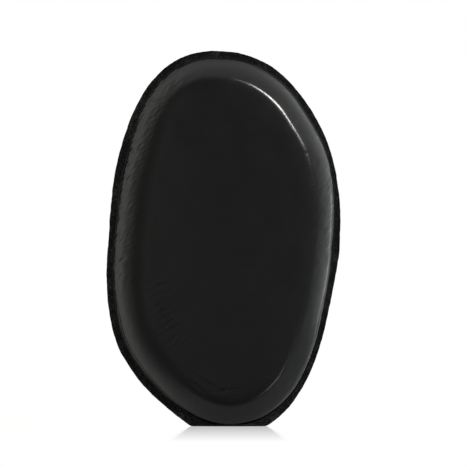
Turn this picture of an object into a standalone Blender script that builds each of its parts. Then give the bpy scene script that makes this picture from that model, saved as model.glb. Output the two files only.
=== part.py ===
"""Stone-shaped gel massage pad: two thermoformed films, welded along a narrow flat rim, round a soft gel core.

It stands upright on a short stretch of rim where the two films are turned out, one forward and one back, as a
flat foot. The front dome faces -Y, +Z is up along the pad's length, and the origin is on the underside of the foot,
below the middle of the pad.
Lengths at the top are in millimetres.
"""

import math

import bmesh
import bpy
import numpy as np

MM = 0.001

# Outline of the trimmed rim: distance from the centre of the outline to its edge, clockwise from the top as seen
# from the front, one every 22.5 degrees. It is a lopsided pebble, fuller at the lower left.
CENTRE_Z = 31.0
CENTRE_X = 0.05  # puts the middle of the whole width at x = 0
TRIM_R = (31.1, 28.1, 23.7, 20.5, 19.1, 19.7, 22.9, 29.6, 32.7, 28.8, 24.7, 20.9, 18.9, 19.9, 23.3, 28.9)
# Width of the flat rim at the same stations.
RIM_W = (1.15, 1.15, 0.75, 0.85, 1.1, 1.0, 0.95, 1.3, 1.5, 1.3, 1.4, 1.2, 0.9, 1.4, 1.4, 1.25)

FILM = 0.25  # thickness of one film
WELD_GAP = 0.10  # modelled gap between the two films along the weld
CORE_GAP = 0.18  # modelled gap between a film and the gel

# Section of one dome, from the weld line inwards: (distance in from the weld line, height above the rim).
WELD = (0.0, 0.0)
WALL = (0.65, 0.85)
BAND = (2.0, 2.4)
SHOULDER = (3.5, 3.6)
FACE_EDGE = (6.0, 3.85)
FACE = (9.0, 3.85)
DOME = (WELD, WALL, BAND, SHOULDER, FACE_EDGE, FACE)

# The foot: below this height the films part, and each is turned out at a right angle, away from the other.
FOOT_Z = 0.0
FOOT_STEP = 0.05  # how far the turned-out stretch overlaps the upright rim, so the two join
FRONT_SHARE = 0.35  # the front film is trimmed shorter there than the back one: this much of its stretch is left

SEGMENTS = 36  # round the cage; Subdivision Surface doubles it
LEVELS = 1

FILM_COLOUR = (0.012, 0.012, 0.013, 1.0)
GEL_COLOUR = (0.42, 0.43, 0.42, 1.0)

OUTER_Y = FILM + WELD_GAP / 2  # from the weld plane to the outside of the rim


def periodic_spline(values):
    """A smooth closed curve through values at even angles, as a function of the angle."""
    n = len(values)
    v = np.array(values, float)
    h = 2 * math.pi / n
    system = np.zeros((n, n))
    right = np.zeros(n)
    for i in range(n):
        system[i, i] = 4.0
        system[i, (i - 1) % n] += 1.0
        system[i, (i + 1) % n] += 1.0
        right[i] = 6.0 * (v[(i + 1) % n] - 2 * v[i] + v[i - 1]) / h**2
    second = np.linalg.solve(system, right)

    def at(angle):
        t = (angle % (2 * math.pi)) / h
        i = int(t) % n
        j = (i + 1) % n
        b = t - int(t)
        a = 1.0 - b
        return a * v[i] + b * v[j] + ((a**3 - a) * second[i] + (b**3 - b) * second[j]) * h * h / 6.0

    return at


TRIM_AT = periodic_spline(TRIM_R)
RIM_AT = periodic_spline(RIM_W)


def trim_point(angle):
    r = TRIM_AT(angle)
    return np.array((CENTRE_X + r * math.sin(angle), CENTRE_Z + r * math.cos(angle)))


def inward(angle):
    """Unit normal of the outline, in the XZ plane, pointing into the pad."""
    step = 0.01
    t = trim_point(angle + step) - trim_point(angle - step)
    t /= np.linalg.norm(t)
    return np.array((t[1], -t[0]))


def ring(inset, y, segments=SEGMENTS):
    """One ring of the cage: the weld line moved inwards by inset, at depth y. A negative inset is on the rim,
    as a share of its width. The points are set out a little to make up for what subdivision draws them in."""
    points = []
    for k in range(segments):
        angle = 2 * math.pi * k / segments
        width = RIM_AT(angle)
        offset = width * (1.0 + inset) if inset < 0 else width + inset
        p = trim_point(angle) + inward(angle) * offset
        centre = np.array((CENTRE_X, CENTRE_Z))
        p = centre + (p - centre) * (1.0 + (1.0 - math.cos(2 * math.pi / segments)) / 4.0)
        points.append((p[0] * MM, y * MM, p[1] * MM))
    return points


def loft(name, rings, capped, creased=()):
    """A mesh through the rings, each joined to the next, with a face on the last one if capped."""
    bm = bmesh.new()
    crease = bm.edges.layers.float.new("crease_edge")
    loops = [[bm.verts.new(p) for p in points] for points in rings]
    n = len(loops[0])
    for a, b in zip(loops, loops[1:]):
        for k in range(n):
            bm.faces.new((a[k], a[(k + 1) % n], b[(k + 1) % n], b[k]))
    if capped:
        bm.faces.new(loops[-1])
    for index, amount in creased:
        for k in range(n):
            edge = bm.edges.get((loops[index][k], loops[index][(k + 1) % n]))
            edge[crease] = amount
    bmesh.ops.recalc_face_normals(bm, faces=bm.faces)
    mesh = bpy.data.meshes.new(name)
    bm.to_mesh(mesh)
    bm.free()
    return mesh


def collection(name):
    made = bpy.data.collections.new(name)
    bpy.context.scene.collection.children.link(made)
    return made


def material(name, colour, roughness):
    made = bpy.data.materials.new(name)
    made.use_nodes = True
    shader = made.node_tree.nodes["Principled BSDF"]
    shader.inputs["Base Color"].default_value = colour
    shader.inputs["Roughness"].default_value = roughness
    shader.inputs["Metallic"].default_value = 0.0
    return made


def place(name, mesh, where, look=None):
    made = bpy.data.objects.new(name, mesh)
    where.objects.link(made)
    if look is not None:
        mesh.materials.append(look)
    return made


def subdivide(made):
    sub = made.modifiers.new("smooth", "SUBSURF")
    sub.levels = LEVELS
    sub.render_levels = LEVELS


def normals_out(mesh, side):
    """Turns an open dome's faces to point to its outer side, -Y for the front and +Y for the back."""
    if sum(p.normal.y * p.area for p in mesh.polygons) * side < 0:
        mesh.flip_normals()


def foot_plate(name, side, where):
    """The turned-out stretch of one film, as a flat plate: the part of the outline below the pad, laid level."""
    edge = [trim_point(math.radians(a)) for a in np.arange(150.0, 215.0, 2.5)]
    edge = [p for p in edge if p[1] < -FOOT_STEP]
    left, right = edge[-1][0] - 0.3, edge[0][0] + 0.3
    loop = [(right, WELD_GAP / 2), (right, OUTER_Y + 0.02)]
    share = FRONT_SHARE if side < 0 else 1.0
    loop += [(p[0], OUTER_Y - p[1] * share) for p in edge]
    loop += [(left, OUTER_Y + 0.02), (left, WELD_GAP / 2)]
    curve = bpy.data.curves.new(name, "CURVE")
    curve.dimensions = "2D"
    curve.fill_mode = "BOTH"
    curve.extrude = FILM / 2 * MM
    spline = curve.splines.new("POLY")
    spline.points.add(len(loop) - 1)
    for point, (x, y) in zip(spline.points, loop):
        point.co = (x * MM, side * y * MM, 0.0, 1.0)
    spline.use_cyclic_u = True
    outline = place(name + "_outline", curve, where)
    outline.location.z = (FOOT_Z + FILM / 2) * MM
    bpy.context.view_layer.update()
    mesh = bpy.data.meshes.new_from_object(outline.evaluated_get(bpy.context.evaluated_depsgraph_get()))
    made = place(name, mesh, where)
    made.matrix_world = outline.matrix_world
    bpy.data.objects.remove(outline)
    bm = bmesh.new()
    bm.from_mesh(mesh)
    bmesh.ops.remove_doubles(bm, verts=bm.verts, dist=1e-7)
    bmesh.ops.recalc_face_normals(bm, faces=bm.faces)
    bm.to_mesh(mesh)
    bm.free()
    return made


def cutter_box(name, top_z, where):
    """A box that takes away everything of a rim below top_z."""
    bm = bmesh.new()
    bmesh.ops.create_cube(bm, size=1.0)
    bmesh.ops.scale(bm, verts=bm.verts, vec=(60 * MM, 20 * MM, 8 * MM))
    mesh = bpy.data.meshes.new(name)
    bm.to_mesh(mesh)
    bm.free()
    made = place(name, mesh, where)
    made.location.z = (top_z - 4.0) * MM
    return made


def guide(made):
    made.hide_render = True
    made.display_type = "WIRE"


def boolean(made, kind, other):
    step = made.modifiers.new(kind.lower(), "BOOLEAN")
    step.operation = kind
    step.solver = "EXACT"
    step.object = other


def skin(name, side, parts, cutters, look):
    """One film. side is -1 for the front and +1 for the back."""
    rings = [ring(-1.0, side * OUTER_Y), ring(-0.4, side * OUTER_Y)]
    rings += [ring(inset, side * (OUTER_Y + height)) for inset, height in DOME]
    mesh = loft(name, rings, capped=True, creased=((0, 1.0), (2, 0.9)))
    normals_out(mesh, side)
    made = place(name, mesh, parts, look)
    subdivide(made)
    film = made.modifiers.new("film", "SOLIDIFY")
    film.thickness = FILM * MM
    film.offset = -1.0
    film.use_even_offset = True
    film.use_quality_normals = True
    below = cutter_box(name + "_below", FOOT_Z, cutters)
    guide(below)
    boolean(made, "DIFFERENCE", below)
    plate = foot_plate(name + "_foot", side, cutters)
    guide(plate)
    boolean(made, "UNION", plate)
    mesh.shade_smooth()
    mesh.set_sharp_from_angle(angle=math.radians(40))
    return made


def inner_section():
    """The dome's section moved inwards, by a film and the gap to the gel, along its own normals."""
    away = FILM + CORE_GAP
    moved = []
    for i, (inset, height) in enumerate(DOME):
        before = DOME[max(i - 1, 0)]
        after = DOME[min(i + 1, len(DOME) - 1)]
        run, rise = after[0] - before[0], after[1] - before[1]
        length = math.hypot(run, rise)
        moved.append((inset + away * rise / length, height - away * run / length))
    return moved


def core(name, parts, look):
    """The gel: one closed soft form, the front half mirrored to the back."""
    section = inner_section()
    start = section[0][0] + 0.25
    rings = [ring(start, 0.0)]
    rings += [ring(max(inset, start), -(OUTER_Y + height)) for inset, height in section[1:]]
    mesh = loft(name, rings, capped=True)
    normals_out(mesh, -1)
    made = place(name, mesh, parts, look)
    mirror = made.modifiers.new("both_sides", "MIRROR")
    mirror.use_axis = (False, True, False)
    mirror.use_mirror_merge = True
    mirror.merge_threshold = 1e-6
    subdivide(made)
    mesh.shade_smooth()
    return made


def main():
    for old in list(bpy.data.objects):
        bpy.data.objects.remove(old, do_unlink=True)
    parts = collection("gel_massage_pad")
    cutters = collection("cutters")
    front_film = material("front_film", FILM_COLOUR, 0.38)
    back_film = material("back_film", FILM_COLOUR, 0.38)
    gel = material("gel", GEL_COLOUR, 0.25)
    skin("front_skin", -1, parts, cutters, front_film)
    skin("back_skin", 1, parts, cutters, back_film)
    core("gel_core", parts, gel)


main()
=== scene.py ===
import math

import bpy
import numpy as np
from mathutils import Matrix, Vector


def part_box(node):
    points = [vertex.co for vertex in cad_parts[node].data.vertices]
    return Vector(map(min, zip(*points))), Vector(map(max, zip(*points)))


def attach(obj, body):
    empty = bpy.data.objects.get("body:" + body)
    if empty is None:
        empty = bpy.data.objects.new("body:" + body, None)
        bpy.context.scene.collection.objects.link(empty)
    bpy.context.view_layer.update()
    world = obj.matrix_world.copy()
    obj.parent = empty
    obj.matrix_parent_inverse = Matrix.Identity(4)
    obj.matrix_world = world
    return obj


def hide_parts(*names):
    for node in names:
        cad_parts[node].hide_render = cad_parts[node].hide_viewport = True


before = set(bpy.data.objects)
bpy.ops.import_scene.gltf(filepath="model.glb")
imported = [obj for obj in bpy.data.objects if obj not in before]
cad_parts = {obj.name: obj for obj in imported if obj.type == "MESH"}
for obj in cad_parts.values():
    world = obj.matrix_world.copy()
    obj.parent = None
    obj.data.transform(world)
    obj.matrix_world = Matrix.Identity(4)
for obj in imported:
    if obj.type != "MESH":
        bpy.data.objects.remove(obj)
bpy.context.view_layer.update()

# ---------------------------------------------------------------------------------------------------------------
# Place and size, from the CAD frame. Shapes below are drawn in design millimetres and placed by these.
# ---------------------------------------------------------------------------------------------------------------
front_lo, front_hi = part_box("front_skin")
back_lo, back_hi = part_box("back_skin")
MM = (front_hi.z - front_lo.z) / 61.87            # one design millimetre, in metres
MID_X = (front_lo.x + front_hi.x) / 2 + 0.00005   # the outline's polar centre
WELD_Y = (front_lo.y + back_hi.y) / 2             # the plane where the two films meet
CENTRE_Z = 31.0
HALF_FRONT = (WELD_Y - front_lo.y) / MM           # from the weld plane to the top of each dome
HALF_BACK = (back_hi.y - WELD_Y) / MM
RIM_HALF = 0.30                                   # from the weld plane to the rim's outer surface
SEAM = 0.012                                      # from the weld plane to a film's inner side, along the rim
FILM = 0.25

# The trimmed edge every 15 degrees, and the weld line every 12: distance from the centre, clockwise from the top.
TRIM = (30.9, 29.5, 26.5, 23.7, 21.4, 19.88, 19.2, 19.36, 20.42, 23.08, 27.2, 31.4,
        32.6, 30.2, 27.4, 24.8, 22.0, 20.0, 19.0, 19.3, 20.8, 23.3, 27.1, 30.4)
WELD = (29.84, 28.93, 26.81, 24.39, 22.5, 20.7, 19.3, 18.43, 18.15, 18.54, 19.58, 21.6, 24.53, 27.98, 30.45,
        30.95, 29.4, 27.12, 25.03, 22.9, 20.75, 19.22, 18.29, 17.95, 18.3, 19.45, 21.25, 24.2, 27.5, 29.61)
CORNER = (188.5, 3.5, 0.35)     # the trimmed edge's corner at the left end of the foot: angle, spread, how far out

# Slope of the dome's side, in degrees, by distance in from the weld line. The thermoformed shoulder is a tight
# ridge on the right of the pad and a softer roll on the left. Low on the right a steep lip stands along the weld.
SHARP = ((0, 40), (0.04, 50), (0.09, 55), (0.3, 54.5), (0.6, 53), (1.0, 51), (1.4, 49), (1.8, 47), (2.3, 45),
         (2.8, 43), (3.05, 38), (3.2, 28), (3.4, 17), (3.65, 10), (4.2, 7), (5.0, 4.2), (6.0, 2.6), (6.8, 1.9))
SOFT = ((0, 12), (0.04, 38), (0.1, 54), (0.35, 54), (0.7, 51), (1.2, 48.5), (1.8, 45.5), (2.4, 41.5), (2.9, 34.5),
        (3.4, 26), (3.9, 19), (4.5, 12), (5.2, 6.6), (6.0, 3.6), (6.8, 2.2))
LOW = ((0, 30), (0.02, 52), (0.05, 61), (0.27, 61), (0.38, 50.5), (0.5, 48), (0.8, 46), (1.3, 44.5), (2.0, 43.5),
       (2.6, 43), (3.2, 42.5), (3.4, 38), (3.55, 28), (3.75, 17), (4.0, 10), (4.5, 7), (5.2, 4.2), (6.0, 2.8), (6.8, 2))
REACH = 6.8
CROWN = 0.24       # how far the middle of the face stands out past its edge

FOLD_Z = 0.36      # height where each film's rim starts to turn out into the foot; also that bend's outer radius
FOLD_Y = SEAM + FOLD_Z      # the bend's centre, out from the weld plane

SEGMENTS = 1024


def closed_curve(values):
    """A smooth closed curve through values at even angles: a function of an array of angles."""
    v = np.array(values, float)
    n = len(v)
    h = 2 * math.pi / n
    m = np.zeros((n, n))
    for i in range(n):
        m[i, i] = 4
        m[i, i - 1] += 1
        m[i, (i + 1) % n] += 1
    second = np.linalg.solve(m, 6 * (np.roll(v, -1) - 2 * v + np.roll(v, 1)) / h**2)

    def at(angle):
        t = (np.asarray(angle) % (2 * math.pi)) / h
        i = np.floor(t).astype(int) % n
        j = (i + 1) % n
        b = t - np.floor(t)
        a = 1 - b
        return a * v[i] + b * v[j] + ((a**3 - a) * second[i] + (b**3 - b) * second[j]) * h * h / 6

    return at


trim_at = closed_curve(TRIM)
weld_at = closed_curve(WELD)


def waves(seed, shortest, longest, count=28, tilt=None, spread=math.pi):
    """Smooth pseudo-random relief over the plane, about -1 to 1, from plane waves of the given lengths in mm.
    tilt is the direction the waves run, and spread how far they stray from it."""
    rng = np.random.default_rng(seed)
    length = np.exp(rng.uniform(math.log(shortest), math.log(longest), count))
    way = rng.uniform(-spread, spread, count) + (0 if tilt is None else tilt)
    phase = rng.uniform(0, 2 * math.pi, count)
    kx, kz = 2 * math.pi / length * np.cos(way), 2 * math.pi / length * np.sin(way)

    def at(x, z):
        out = np.zeros(np.broadcast(x, z).shape)
        for a, b, p in zip(kx, kz, phase):
            out += np.sin(a * x + b * z + p)
        return out / math.sqrt(count / 2) / 1.6

    return at


def step(a, b, v):
    t = np.clip((np.asarray(v, float) - a) / (b - a), 0, 1)
    return t * t * (3 - 2 * t)


def near(angle, centre, reach, soft):
    """1 within reach of the centre angle, falling to 0 over soft; all in degrees."""
    away = np.abs((np.degrees(angle) - centre + 180) % 360 - 180)
    return 1 - step(reach, reach + soft, away)


def crown(t):
    """How far the face lies below its middle, t of the way in from the edge of the face."""
    return -CROWN * (1 - t) ** 2


def section(table, height):
    """Height and slope of the dome by distance in from the weld line, scaled to reach the given height."""
    u = np.linspace(0, REACH, 1400)
    slope = np.tan(np.radians(np.interp(u, *np.array(table, float).T)))
    h = np.concatenate(([0], np.cumsum((slope[1:] + slope[:-1]) / 2 * np.diff(u))))
    k = height / h[-1]
    return u, h * k, slope * k


def dome_shape(a, half):
    """Height and slope of the dome at each angle of the outline: a function of the distance in from the weld line."""
    u_axis, sharp_h, sharp_s = section(SHARP, half - RIM_HALF - CROWN)
    _, soft_h, soft_s = section(SOFT, half - RIM_HALF - CROWN)
    _, low_h, low_s = section(LOW, half - RIM_HALF - CROWN)
    crisp = near(a, 65, 75, 45)
    low = near(a, 165, 20, 25)

    def at(u):
        mixed = []
        for x, y, z in ((sharp_h, soft_h, low_h), (sharp_s, soft_s, low_s)):
            x, y, z = (np.interp(u, u_axis, v) for v in (x, y, z))
            mixed.append((x * crisp + y * (1 - crisp)) * (1 - low) + z * low)
        return mixed

    return at


# ---------------------------------------------------------------------------------------------------------------
# The film mesh
# ---------------------------------------------------------------------------------------------------------------
RIM_STOPS = (1.0, 0.985, 0.95, 0.88, 0.76, 0.62, 0.48, 0.34, 0.2, 0.1, 0.04)
DOME_STOPS = (0, 0.03, 0.06, 0.1, 0.15, 0.22, 0.3, 0.38, 0.46, 0.55, 0.65, 0.77, 0.9, 1.05, 1.2, 1.37, 1.55, 1.75,
              1.95, 2.15, 2.35, 2.52, 2.68, 2.82, 2.94, 3.04, 3.14, 3.24, 3.34, 3.46, 3.6, 3.78, 3.98, 4.2, 4.4, 4.6,
              4.8, 5.0, 5.25, 5.5, 5.75, 6.0, 6.25, 6.5, 6.8)
FACE_STOPS = ((0.015, 1), (0.03, 1), (0.045, 1), (0.06, 1), (0.08, 1), (0.1, 1), (0.12, 1), (0.145, 1), (0.17, 2),
              (0.2, 2), (0.23, 2), (0.27, 2), (0.315, 2), (0.36, 2), (0.41, 2), (0.46, 2), (0.52, 4), (0.58, 4),
              (0.64, 4), (0.71, 8), (0.78, 8), (0.86, 16), (0.94, 32))


def even_angles(count):
    """Angles that space points evenly along the weld line."""
    a = np.linspace(0, 2 * math.pi, 7201)
    r = weld_at(a)
    x, z = r * np.sin(a), r * np.cos(a)
    run = np.concatenate(([0], np.cumsum(np.hypot(np.diff(x), np.diff(z)))))
    return np.interp(np.arange(count) * run[-1] / count, run, a)


class Plan:
    """The outline in plan, for one film: where a point lies for an angle and a distance from the weld line."""

    def __init__(self, seed, count):
        self.angle = even_angles(count)
        a = self.angle
        wob = waves(seed, 2.5, 9.0, 14)
        nick = waves(seed + 1, 0.7, 2.2, 18)
        rt, rw = trim_at(a), weld_at(a)
        rt = rt + CORNER[2] * np.exp(-(((np.degrees(a) - CORNER[0]) / CORNER[1]) ** 2))
        x, z = rt * np.sin(a), rt * np.cos(a)
        rt = rt + 0.035 * wob(x, z) + 0.018 * nick(x, z)
        rw = rw + 0.03 * waves(seed + 2, 3.0, 12.0, 14)(x, z)
        self.sin, self.cos = np.sin(a), np.cos(a)
        self.trim_r, self.weld_r = rt, rw
        px, pz = rw * self.sin, rw * self.cos
        tx, tz = np.roll(px, -1) - np.roll(px, 1), np.roll(pz, -1) - np.roll(pz, 1)
        k = np.hanning(21)
        k /= k.sum()
        pad = len(k) // 2
        tx = np.convolve(np.concatenate((tx[-pad:], tx, tx[:pad])), k, "valid")
        tz = np.convolve(np.concatenate((tz[-pad:], tz, tz[:pad])), k, "valid")
        length = np.hypot(tx, tz)
        self.nx, self.nz = tz / length, -tx / length      # into the pad
        self.px, self.pz = px, pz

    def rim(self, share, pick=1):
        r = self.weld_r + (self.trim_r - self.weld_r) * share
        return (r * self.sin)[::pick], (r * self.cos)[::pick]

    def dome(self, u, pick=1):
        return (self.px + self.nx * u)[::pick], (self.pz + self.nz * u)[::pick]

    def face(self, t, pick=1):
        x, z = self.dome(REACH, pick)
        cx, cz = -0.3, 0.4
        # the rings shrink evenly towards one point near the middle of the face, so they stay long ovals
        return cx + (x - cx) * (1 - t), cz + (z - cz) * (1 - t)


def fold(x, y, z, share):
    """Turns everything below FOLD_Z out from the weld plane, round one bend. y is measured outwards from that plane.
    share is how much of the level stretch past the bend is left after trimming."""
    s = np.maximum(FOLD_Z - z, 0)
    turn = np.minimum(s / FOLD_Z, math.pi / 2)
    radius = FOLD_Y - y
    past = np.maximum(s - FOLD_Z * math.pi / 2, 0) * share
    fy = FOLD_Y - radius * np.cos(turn) + past
    fz = FOLD_Z - radius * np.sin(turn)
    low = z < FOLD_Z
    return x, np.where(low, fy, y), np.where(low, fz, z)


class Build:
    """Gathers rings of points and joins them, the same count to the same or two to one."""

    def __init__(self):
        self.points, self.faces, self.kinds, self.count = [], [], [], 0

    def ring(self, x, y, z):
        n = len(x)
        self.points.append(np.column_stack((x, y, z)))
        self.count += n
        return np.arange(self.count - n, self.count)

    def join(self, a, b, kind, turned=False):
        n, m = len(a), len(b)
        a1, b1 = np.roll(a, -1), np.roll(b, -1)
        if n == m:
            quads = np.column_stack((a, a1, b1, b))
            new = [quads]
        else:                                             # two segments of a to one of b
            e, o = a[0::2], a[1::2]
            e1 = np.roll(e, -1)
            new = [np.column_stack((e, o, b)), np.column_stack((o, b1, b)), np.column_stack((o, e1, b1))]
        for f in new:
            f = f[:, ::-1] if turned else f
            self.faces += f.tolist()
            self.kinds += [kind] * len(f)

    def cap(self, ring, point, kind, turned=False):
        centre = self.ring(*[np.array([v]) for v in point])[0]
        nxt = np.roll(ring, -1)
        f = np.column_stack((ring, nxt, np.full(len(ring), centre)))
        f = f[:, ::-1] if turned else f
        self.faces += f.tolist()
        self.kinds += [kind] * len(f)

    def object(self, name, materials, side=1):
        p = np.concatenate(self.points)
        world = np.column_stack((MID_X + p[:, 0] * MM, WELD_Y + p[:, 1] * MM, front_lo.z + p[:, 2] * MM))
        mesh = bpy.data.meshes.new(name)
        mesh.from_pydata(world.tolist(), [], self.faces)
        mesh.polygons.foreach_set("material_index", np.array(self.kinds, np.int32))
        for m in materials:
            mesh.materials.append(m)
        mesh.validate()
        mesh.shade_smooth()
        mesh.set_sharp_from_angle(angle=math.radians(38))
        made = bpy.data.objects.new(name, mesh)
        bpy.context.scene.collection.objects.link(made)
        return made


def relief(side, x, z, u, angle, seed):
    """Wrinkles of the film over the gel, in mm along the outward normal. x and z are from the centre."""
    fine = waves(seed + 10, 0.5, 1.0, 34, tilt=-0.8, spread=0.5)(x, z)
    mottle = waves(seed + 11, 1.3, 3.2, 30)(x, z)
    swell = waves(seed + 12, 7.0, 20.0, 12)(x, z)
    drift = waves(seed + 13, 3.0, 7.0, 20)(x, z)
    on_dome = step(0.0, 0.35, u)
    band = step(0.05, 0.4, u) * (1 - step(2.6, 5.0, u))
    left = near(angle, 295, 42, 22) + 0.35 * near(angle, 80, 18, 16)
    out = 0.02 * swell * step(1.5, 6, u) + 0.005 * drift * on_dome
    # the mottled, finely wrinkled band at the upper left, and much less of it elsewhere
    out += band * (0.004 + 0.012 * left) * mottle + band * (0.0012 + 0.012 * left) * fine
    # a row of short ripples down the lower left of the face
    wander = waves(seed + 14, 5, 14, 10)(x, z)
    down = 0.32 * (x + 9.3) - 0.947 * (z + 12.0)
    aside = 0.947 * (x + 9.3) + 0.32 * (z + 12.0)
    ripple = np.sin(2 * math.pi * (down + 0.35 * aside + 0.25 * mottle) / 1.25 + 2.2 * wander)
    where = np.exp(-((aside / 1.7) ** 2)) * (1 - step(4.5, 7.5, np.abs(down))) * step(3.2, 4.4, u)
    out += (0.027 if side < 0 else 0.010) * ripple * where * (0.6 + 0.4 * drift)
    # creases that run beside the weld line
    for centre, reach, at, depth, wide in ((27, 14, 0.42, 0.035, 0.07), (25, 17, 0.72, 0.016, 0.08),
                                           (212, 20, 0.4, 0.035, 0.07), (208, 16, 0.78, 0.018, 0.09),
                                           (98, 30, 0.5, 0.014, 0.1), (150, 14, 0.45, 0.018, 0.09)):
        line = at + 0.07 * wander + 0.03 * drift
        out -= depth * np.exp(-(((u - line) / wide) ** 2)) * near(angle, centre, reach, 10) * on_dome
    # a dimple at the lower end of the upper right ridge
    out -= 0.03 * np.exp(-((x - 13.65) ** 2 + (z - 14.1) ** 2) / 0.28**2)
    # the V-shaped folds just above the foot
    for cx, cz, way, long, wide, depth in ((-2.6, -23.6, 0.5, 2.3, 0.3, 0.04), (0.7, -23.9, -1.0, 1.1, 0.22, 0.034),
                                           (-1.0, -23.6, 1.1, 1.0, 0.2, 0.03), (0.6, -24.7, -0.08, 2.4, 0.24, 0.034),
                                           (-4.2, -24.4, 0.6, 1.6, 0.24, 0.03)):
        dx, dz = x - cx, z - cz
        along = dx * math.cos(way) - dz * math.sin(way)
        off = dx * math.sin(way) + dz * math.cos(way) + 0.12 * wander
        out -= depth * np.exp(-((along / long) ** 2) - (off / wide) ** 2)
        out += 0.4 * depth * np.exp(-((along / long) ** 2) - ((off - 1.6 * wide) / wide) ** 2)
    return out


def film(name, side, half, seed, materials):
    """One film as a closed thin solid: rim, dome and face outside, the same inside, and the trimmed edge.
    side is -1 for the front and +1 for the back."""
    plan = Plan(5, SEGMENTS)
    a = plan.angle
    shape = dome_shape(a, half)
    b = Build()
    flip = side > 0

    def surface(x, z, u, ang, level, lean, pick):
        """A ring on the outer side: level is the height over the rim, lean the slope."""
        d = relief(side, x, z, u, ang, seed)
        nrm = np.sqrt(1 + lean**2)
        nx, nz = plan.nx[::pick], plan.nz[::pick]
        px, pz = x - nx * d * lean / nrm, z - nz * d * lean / nrm
        py = RIM_HALF + level + d / nrm
        return px, side * py, pz + CENTRE_Z

    def put(x, y, z):
        fx, fy, fz = fold(x, side * y, z, 0.3 if side < 0 else 1.0)
        return b.ring(fx, side * fy, fz)

    # trimmed edge, outside first
    rings = []
    lip = waves(seed + 30, 1.2, 4.0, 20)
    for share in RIM_STOPS:
        x, z = plan.rim(share)
        bead = 0.035 * np.exp(-(((share - 0.93) / 0.07) ** 2)) * (0.6 + 0.4 * lip(x, z))
        ease = 0.05 if share == 1.0 else (0.015 if share > 0.98 else 0.0)
        wave = 0.008 * lip(z, x) * math.sin(math.pi * min(share, 1)) 
        rings.append((put(x, side * (RIM_HALF + bead + wave - ease), z + CENTRE_Z), 1))
    for u in DOME_STOPS:
        x, z = plan.dome(u)
        h, s = shape(u)
        rings.append((put(*surface(x, z, np.full(len(x), float(u)), a, h, s, 1)), 0))
    top = half - RIM_HALF
    pick = 1
    for t, every in FACE_STOPS:
        pick = every
        x, z = plan.face(t, pick)
        reach = REACH + t * 12.0
        rings.append((put(*surface(x, z, np.full(len(x), reach), a[::pick], np.full(len(x), top + crown(t)), 0.0,
                                  pick)), 0))
    for (p, _), (q, kind) in zip(rings, rings[1:]):
        b.join(p, q, kind, flip)
    cx, cz = -0.3, 0.4
    b.cap(rings[-1][0], (cx, side * half, cz + CENTRE_Z), 0, flip)

    # inner side: coarser, one film's thickness in
    inner = []
    x, z = plan.rim(0.995)
    inner.append(put(x, np.full(len(x), side * SEAM), z + CENTRE_Z))
    b.join(inner[0], rings[0][0], 2, flip)
    for share in (0.6, 0.2):
        x, z = plan.rim(share, 2)
        inner.append(put(x, np.full(len(x), side * SEAM), z + CENTRE_Z))
    for u in (0.25, 0.5, 0.9, 1.4, 2.0, 2.6, 3.1, 3.5, 4.2, 5.2, 6.8):
        x, z = plan.dome(u, 2)
        h, s = (v[::2] for v in shape(u))
        n = np.sqrt(1 + s**2)
        y = np.maximum(RIM_HALF + h - FILM / n, SEAM)
        inner.append(put(x + plan.nx[::2] * FILM * s / n, side * y, z + plan.nz[::2] * FILM * s / n + CENTRE_Z))
    for t, every in ((0.15, 4), (0.35, 8), (0.6, 16), (0.85, 32)):
        x, z = plan.face(t, every)
        inner.append(put(x, np.full(len(x), side * (half - FILM + crown(t))), z + CENTRE_Z))
    for p, q in zip(inner, inner[1:]):
        b.join(p, q, 0, not flip)
    b.cap(inner[-1], (cx, side * (half - FILM), cz + CENTRE_Z), 0, not flip)
    return b.object(name, materials)


def gel_body(name, materials):
    """The gel, a closed soft form that fills the space between the films."""
    n = 320
    plan = Plan(5, n)
    a = plan.angle
    b = Build()
    clear = FILM + 0.03
    last = {}
    edge_x, edge_z = plan.dome(0.42)
    edge = b.ring(edge_x, np.zeros(n), edge_z + CENTRE_Z)
    for side, half in ((-1, HALF_FRONT), (1, HALF_BACK)):
        flip = side > 0
        shape = dome_shape(a, half)
        ring = edge
        for u in (0.28, 0.45, 0.7, 1.0, 1.4, 1.8, 2.2, 2.6, 2.9, 3.1, 3.3, 3.5, 3.8, 4.3, 5.0, 5.8, 6.8):
            x, z = plan.dome(u)
            h, s = shape(u)
            k = np.sqrt(1 + s**2)
            y = RIM_HALF + h - clear / k
            new = b.ring(x + plan.nx * clear * s / k, side * y, z + plan.nz * clear * s / k + CENTRE_Z)
            b.join(ring, new, 0, flip)
            ring = new
        for t, every in ((0.12, 1), (0.25, 2), (0.4, 2), (0.55, 4), (0.7, 8), (0.85, 16)):
            x, z = plan.face(t, every)
            new = b.ring(x, np.full(len(x), side * (half - clear + crown(t))), z + CENTRE_Z)
            b.join(ring, new, 0, flip)
            ring = new
        b.cap(ring, (-0.3, side * (half - clear), 0.4 + CENTRE_Z), 0, flip)
    return b.object(name, materials)


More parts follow.
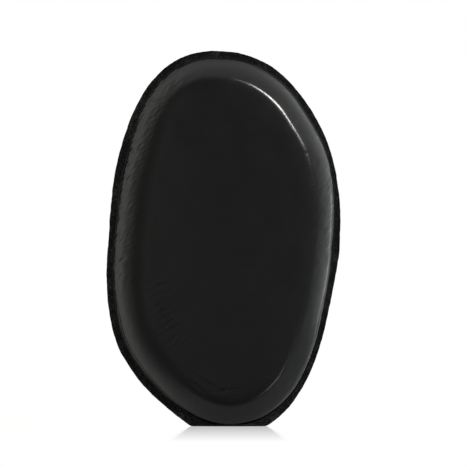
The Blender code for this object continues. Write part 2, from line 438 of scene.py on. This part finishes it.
# ---------------------------------------------------------------------------------------------------------------
# Materials
# ---------------------------------------------------------------------------------------------------------------
class Nodes:
    def __init__(self, name):
        self.material = bpy.data.materials.new(name)
        self.material.use_nodes = True
        self.tree = self.material.node_tree
        self.shader = self.tree.nodes["Principled BSDF"]
        self.where = self.new("ShaderNodeTexCoord").outputs["Object"]

    def new(self, kind, **settings):
        node = self.tree.nodes.new(kind)
        for key, value in settings.items():
            if key in node.inputs:
                node.inputs[key].default_value = value
            else:
                setattr(node, key, value)
        return node

    def link(self, a, b):
        self.tree.links.new(a, b)

    def scaled(self, scale):
        m = self.new("ShaderNodeMapping")
        m.inputs["Scale"].default_value = scale
        self.link(self.where, m.inputs["Vector"])
        return m.outputs["Vector"]

    def noise(self, scale, detail=3.0, rough=0.5, vector=None):
        n = self.new("ShaderNodeTexNoise")
        n.inputs["Scale"].default_value = scale
        n.inputs["Detail"].default_value = detail
        n.inputs["Roughness"].default_value = rough
        self.link(vector or self.where, n.inputs["Vector"])
        return n.outputs["Fac"]

    def span(self, value, a, b, low, high):
        r = self.new("ShaderNodeMapRange")
        r.inputs["From Min"].default_value = a
        r.inputs["From Max"].default_value = b
        r.inputs["To Min"].default_value = low
        r.inputs["To Max"].default_value = high
        self.link(value, r.inputs["Value"])
        return r.outputs["Result"]

    def math(self, kind, a, b):
        m = self.new("ShaderNodeMath")
        m.operation = kind
        for socket, value in zip(m.inputs, (a, b)):
            if isinstance(value, (int, float)):
                socket.default_value = value
            else:
                self.link(value, socket)
        return m.outputs[0]

    def colour(self, value, low, high):
        r = self.new("ShaderNodeValToRGB")
        r.color_ramp.elements[0].color = (*low, 1)
        r.color_ramp.elements[1].color = (*high, 1)
        self.link(value, r.inputs["Fac"])
        return r.outputs["Color"]

    def bump(self, height, strength, distance, after=None):
        b = self.new("ShaderNodeBump")
        b.inputs["Strength"].default_value = strength
        b.inputs["Distance"].default_value = distance
        self.link(height, b.inputs["Height"])
        if after is not None:
            self.link(after, b.inputs["Normal"])
        return b.outputs["Normal"]


def film_material():
    n = Nodes("black_film")
    n.shader.inputs["IOR"].default_value = 1.5
    n.shader.inputs["Metallic"].default_value = 0.0
    cloud = n.noise(220, 4, 0.55)
    grain = n.noise(5200, 3, 0.6)
    scuff = n.noise(900, 5, 0.65, n.scaled((1.0, 1.0, 2.6)))
    n.link(n.colour(cloud, (0.001, 0.001, 0.00105), (0.0021, 0.0021, 0.0022)), n.shader.inputs["Base Color"])
    mix = n.math("ADD", n.math("MULTIPLY", cloud, 0.5), n.math("MULTIPLY", scuff, 0.5))
    n.link(n.span(mix, 0.3, 0.7, 0.18, 0.27), n.shader.inputs["Roughness"])
    first = n.bump(scuff, 0.25, 0.00003)
    n.link(n.bump(grain, 0.3, 0.000012, first), n.shader.inputs["Normal"])
    return n.material


def rim_material():
    n = Nodes("welded_rim")
    n.shader.inputs["IOR"].default_value = 1.45
    n.shader.inputs["Specular IOR Level"].default_value = 0.11
    fleck = n.noise(2600, 4, 0.7)
    cloud = n.noise(380, 3, 0.5)
    mix = n.math("ADD", n.math("MULTIPLY", fleck, 0.7), n.math("MULTIPLY", cloud, 0.3))
    r = n.new("ShaderNodeValToRGB")
    r.color_ramp.elements[0].position, r.color_ramp.elements[1].position = 0.48, 0.62
    r.color_ramp.elements[0].color = (0.0002, 0.0002, 0.0002, 1)
    r.color_ramp.elements[1].color = (0.014, 0.014, 0.0145, 1)
    n.link(mix, r.inputs["Fac"])
    n.link(r.outputs["Color"], n.shader.inputs["Base Color"])
    n.link(n.span(fleck, 0.3, 0.7, 0.55, 0.8), n.shader.inputs["Roughness"])
    # the imprint of the sealing bar's cloth: a fine square weave
    across = n.new("ShaderNodeTexWave")
    across.wave_type, across.bands_direction = "BANDS", "X"
    across.inputs["Scale"].default_value = 700
    across.inputs["Distortion"].default_value = 1.2
    n.link(n.where, across.inputs["Vector"])
    up = n.new("ShaderNodeTexWave")
    up.wave_type, up.bands_direction = "BANDS", "Z"
    up.inputs["Scale"].default_value = 700
    up.inputs["Distortion"].default_value = 1.2
    n.link(n.where, up.inputs["Vector"])
    weave = n.math("MULTIPLY", across.outputs["Fac"], up.outputs["Fac"])
    first = n.bump(weave, 0.5, 0.00004)
    n.link(n.bump(fleck, 0.6, 0.00004, first), n.shader.inputs["Normal"])
    return n.material


def cut_material():
    """The cut edge of the film: black, open-pored and without gloss."""
    n = Nodes("cut_edge")
    n.shader.inputs["Specular IOR Level"].default_value = 0.08
    pores = n.noise(3000, 3, 0.6)
    n.link(n.colour(pores, (0.0004, 0.0004, 0.0004), (0.0016, 0.0016, 0.0016)), n.shader.inputs["Base Color"])
    n.link(n.span(pores, 0.3, 0.7, 0.7, 0.95), n.shader.inputs["Roughness"])
    n.link(n.bump(pores, 0.4, 0.00003), n.shader.inputs["Normal"])
    return n.material


def gel_material():
    n = Nodes("soft_gel")
    n.shader.inputs["IOR"].default_value = 1.41
    n.shader.inputs["Transmission Weight"].default_value = 0.6
    cloud = n.noise(160, 3, 0.5)
    n.link(n.colour(cloud, (0.5, 0.52, 0.5), (0.62, 0.63, 0.61)), n.shader.inputs["Base Color"])
    n.link(n.span(cloud, 0.3, 0.7, 0.12, 0.3), n.shader.inputs["Roughness"])
    n.link(n.bump(n.noise(700, 2, 0.5), 0.2, 0.00005), n.shader.inputs["Normal"])
    return n.material


black, matte, cut, clear_gel = film_material(), rim_material(), cut_material(), gel_material()

front = film("front_film", -1, HALF_FRONT, 41, [black, matte, cut])
back = film("back_film", 1, HALF_BACK, 97, [black, matte, cut])
filling = gel_body("gel_filling", [clear_gel])

for piece, node, slot, fill in ((front, "front_skin", "film", 0.9), (back, "back_skin", "film", 0.9),
                                (filling, "gel_core", "gel", 0.9)):
    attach(piece, "root")
    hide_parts(node)

# ---------------------------------------------------------------------------------------------------------------
# Studio: a white seamless floor with a faint sheen, a white surround, and soft boxes
# ---------------------------------------------------------------------------------------------------------------
scene = bpy.context.scene
scene.view_settings.view_transform = "Standard"
scene.view_settings.look = "None"
scene.view_settings.exposure = 0
scene.view_settings.gamma = 1

world = bpy.data.worlds.new("surround")
scene.world = world
world.use_nodes = True
wt = world.node_tree
wt.nodes.clear()
out = wt.nodes.new("ShaderNodeOutputWorld")
path = wt.nodes.new("ShaderNodeLightPath")
seen = wt.nodes.new("ShaderNodeBackground")
seen.inputs["Color"].default_value = (1, 1, 1, 1)
seen.inputs["Strength"].default_value = 1.0
lit = wt.nodes.new("ShaderNodeBackground")
lit.inputs["Strength"].default_value = 1.0


def wmath(kind, a, b=0.0):
    m = wt.nodes.new("ShaderNodeMath")
    m.operation = kind
    for socket, value in zip(m.inputs, (a, b)):
        if isinstance(value, (int, float)):
            socket.default_value = value
        else:
            wt.links.new(value, socket)
    return m.outputs[0]


# What the pad's surfaces see of the studio: white paper behind the pad, falling to a dim room on the camera's side.
# Each ramp runs from straight towards the camera (-1) to straight away from it (1), for one side of the studio.
SURROUND = {
    "right": (((-1, .2), (-.9985, .29), (-.985, .31), (-.9, .34), (-.7, .36), (-.2, .36), (-.12, .44), (-.06, .58),
               (0, .8), (.087, 1.15), (.155, 1.5), (.25, 2.1), (.3, 2.3), (.34, 6.5), (.42, 8), (.48, 4), (.54, .5), (.8, .35), (.93, 1), (1, 1)),
              (.96, .985, 1)),
    "left": (((-1, .21), (-.9985, .35), (-.99, .42), (-.975, .38), (-.95, .26), (-.8, .21), (-.6, .27), (-.4, .38), (-.2, .42),
              (-.08, .58), (0, .95), (.06, 1.18), (.13, 1.22), (.2, .95), (.27, .62), (.5, .5), (.6, .4), (.8, .35), (.93, 1), (1, 1)),
             (1, .985, .95)),
    "top": (((-1, .2), (-.985, .12), (-.955, .15), (-.9, .25), (-.7, .36), (-.5, .5), (-.05, .58), (.04, .76),
             (.13, .9), (.22, .6), (.5, .45), (.6, .4), (.8, .35), (.93, 1),
             (1, 1)), (1, 1, 1)),
    "bottom": (((-1, .2), (-.9985, .28), (-.99, .25), (-.955, .09), (-.87, .14), (-.7, .22), (-.45, .31), (-.1, .36),
                (.1, .32), (.22, .38), (.3, .42), (.34, 1.9), (.42, 2.6), (.48, 1.5), (.54, .4),
                (.8, .35), (.93, 1), (1, 1)), (1, 1, 1)),
}
sky = wt.nodes.new("ShaderNodeTexCoord").outputs["Generated"]
split = wt.nodes.new("ShaderNodeSeparateXYZ")
wt.links.new(sky, split.inputs[0])
dx, dy, dz = split.outputs
around = wmath("MAXIMUM", wmath("ADD", wmath("MULTIPLY", dx, dx), wmath("MULTIPLY", dz, dz)), 1e-4)
depth = wmath("MULTIPLY", wmath("ADD", dy, 1.0), 0.5)
total = None
for side_name, axis, sign in (("right", dx, 1), ("left", dx, -1), ("top", dz, 1), ("bottom", dz, -1)):
    stops, tint = SURROUND[side_name]
    ramp = wt.nodes.new("ShaderNodeValToRGB")
    ramp.color_ramp.interpolation = "LINEAR"
    while len(ramp.color_ramp.elements) < len(stops):
        ramp.color_ramp.elements.new(0.5)
    for element, (at, value) in zip(ramp.color_ramp.elements, stops):
        element.position = (at + 1) / 2
        element.color = (value * tint[0], value * tint[1], value * tint[2], 1)
    wt.links.new(depth, ramp.inputs["Fac"])
    share = wmath("MAXIMUM", wmath("MULTIPLY", axis, float(sign)), 0.0)
    share = wmath("DIVIDE", wmath("MULTIPLY", share, share), around)
    scaled = wt.nodes.new("ShaderNodeVectorMath")
    scaled.operation = "SCALE"
    wt.links.new(ramp.outputs["Color"], scaled.inputs[0])
    wt.links.new(share, scaled.inputs["Scale"])
    if total is None:
        total = scaled.outputs[0]
    else:
        plus = wt.nodes.new("ShaderNodeVectorMath")
        plus.operation = "ADD"
        wt.links.new(total, plus.inputs[0])
        wt.links.new(scaled.outputs[0], plus.inputs[1])
        total = plus.outputs[0]
wt.links.new(total, lit.inputs["Color"])
mixer = wt.nodes.new("ShaderNodeMixShader")
wt.links.new(path.outputs["Is Camera Ray"], mixer.inputs["Fac"])
wt.links.new(lit.outputs[0], mixer.inputs[1])
wt.links.new(seen.outputs[0], mixer.inputs[2])
wt.links.new(mixer.outputs[0], out.inputs["Surface"])

mid = Vector((0, WELD_Y, (front_lo.z + front_hi.z) / 2))


def soft_box(name, away, polar, around, wide, tall, radiance, colour, roll=0.0):
    """An area light aimed at the pad's middle. polar is the angle off the viewing side (-Y), around the angle
    clockwise from the top as seen from the front; wide and tall are degrees; radiance is its brightness."""
    p, q = math.radians(polar), math.radians(around)
    way = Vector((math.sin(p) * math.sin(q), -math.cos(p), math.sin(p) * math.cos(q)))
    data = bpy.data.lights.new(name, "AREA")
    data.shape = "RECTANGLE"
    data.size = 2 * away * math.tan(math.radians(wide / 2))
    data.size_y = 2 * away * math.tan(math.radians(tall / 2))
    data.energy = radiance * math.pi * data.size * data.size_y
    data.color = colour
    lamp = bpy.data.objects.new(name, data)
    scene.collection.objects.link(lamp)
    lamp.location = mid + way * away
    lamp.rotation_euler = (-way).to_track_quat("-Z", "Y").to_euler()
    lamp.rotation_euler.rotate_axis("Z", math.radians(roll))
    return lamp


soft_box("edge_strip", 0.8, 51, 46, 32, 9.5, 46.0, (1.0, 0.97, 0.93))
soft_box("low_strip", 0.8, 48, 132, 26, 7, 2.6, (1.0, 1.0, 1.0))
soft_box("rear_strip", 0.9, 150, 330, 40, 10, 4.0, (1.0, 1.0, 1.0))

floor_mesh = bpy.data.meshes.new("floor")
floor_mesh.from_pydata([(-6, -6, 0), (6, -6, 0), (6, 6, 0), (-6, 6, 0)], [], [(0, 1, 2, 3)])
floor = bpy.data.objects.new("floor", floor_mesh)
scene.collection.objects.link(floor)
floor.location.z = front_lo.z
fm = bpy.data.materials.new("white_floor")
fm.use_nodes = True
ft = fm.node_tree
ft.nodes.clear()
fo = ft.nodes.new("ShaderNodeOutputMaterial")
glow = ft.nodes.new("ShaderNodeEmission")
glow.inputs["Strength"].default_value = 1.0
sheen = ft.nodes.new("ShaderNodeBsdfGlossy")
sheen.inputs["Roughness"].default_value = 0.08
sheen.inputs["Color"].default_value = (1, 1, 1, 1)
# the polish is strongest beside the pad and is gone a hand's breadth in front of it
spot = ft.nodes.new("ShaderNodeSeparateXYZ")
ft.links.new(ft.nodes.new("ShaderNodeTexCoord").outputs["Object"], spot.inputs[0])
polish = ft.nodes.new("ShaderNodeMapRange")
polish.inputs["From Min"].default_value = -0.036
polish.inputs["From Max"].default_value = -0.003
polish.inputs["To Min"].default_value = 0.0
polish.inputs["To Max"].default_value = 0.46
ft.links.new(spot.outputs["Y"], polish.inputs["Value"])
beyond = ft.nodes.new("ShaderNodeMapRange")       # and fades again behind it, so the far floor stays plain white
beyond.inputs["From Min"].default_value = 0.006
beyond.inputs["From Max"].default_value = 0.03
beyond.inputs["To Min"].default_value = 1.0
beyond.inputs["To Max"].default_value = 0.0
ft.links.new(spot.outputs["Y"], beyond.inputs["Value"])
both = ft.nodes.new("ShaderNodeMath")
both.operation = "MULTIPLY"
ft.links.new(polish.outputs["Result"], both.inputs[0])
ft.links.new(beyond.outputs["Result"], both.inputs[1])
blend = ft.nodes.new("ShaderNodeMixShader")
ft.links.new(both.outputs[0], blend.inputs["Fac"])
ft.links.new(glow.outputs[0], blend.inputs[1])
ft.links.new(sheen.outputs[0], blend.inputs[2])
ft.links.new(blend.outputs[0], fo.inputs["Surface"])
floor_mesh.materials.append(fm)
floor.visible_glossy = False
floor.visible_diffuse = False

# ---------------------------------------------------------------------------------------------------------------
# Camera: level with the pad and square to its front, as in the photograph
# ---------------------------------------------------------------------------------------------------------------
VIEW_MM = 76.9                     # what the frame spans at the pad
AIM = Vector((MID_X + 1.55 * MM, WELD_Y, front_lo.z + 31.9 * MM))
AWAY, RISE = 0.75, math.radians(1.5)
cam = bpy.data.cameras.new("camera")
cam.sensor_width = 36
cam.lens = 36 * AWAY / (VIEW_MM * MM)
cam.clip_start, cam.clip_end = 0.01, 30
camera = bpy.data.objects.new("camera", cam)
scene.collection.objects.link(camera)
camera.location = AIM + Vector((0, -AWAY * math.cos(RISE), AWAY * math.sin(RISE)))
camera.rotation_euler = (AIM - camera.location).to_track_quat("-Z", "Y").to_euler()
scene.camera = camera

bpy.context.view_layer.update()
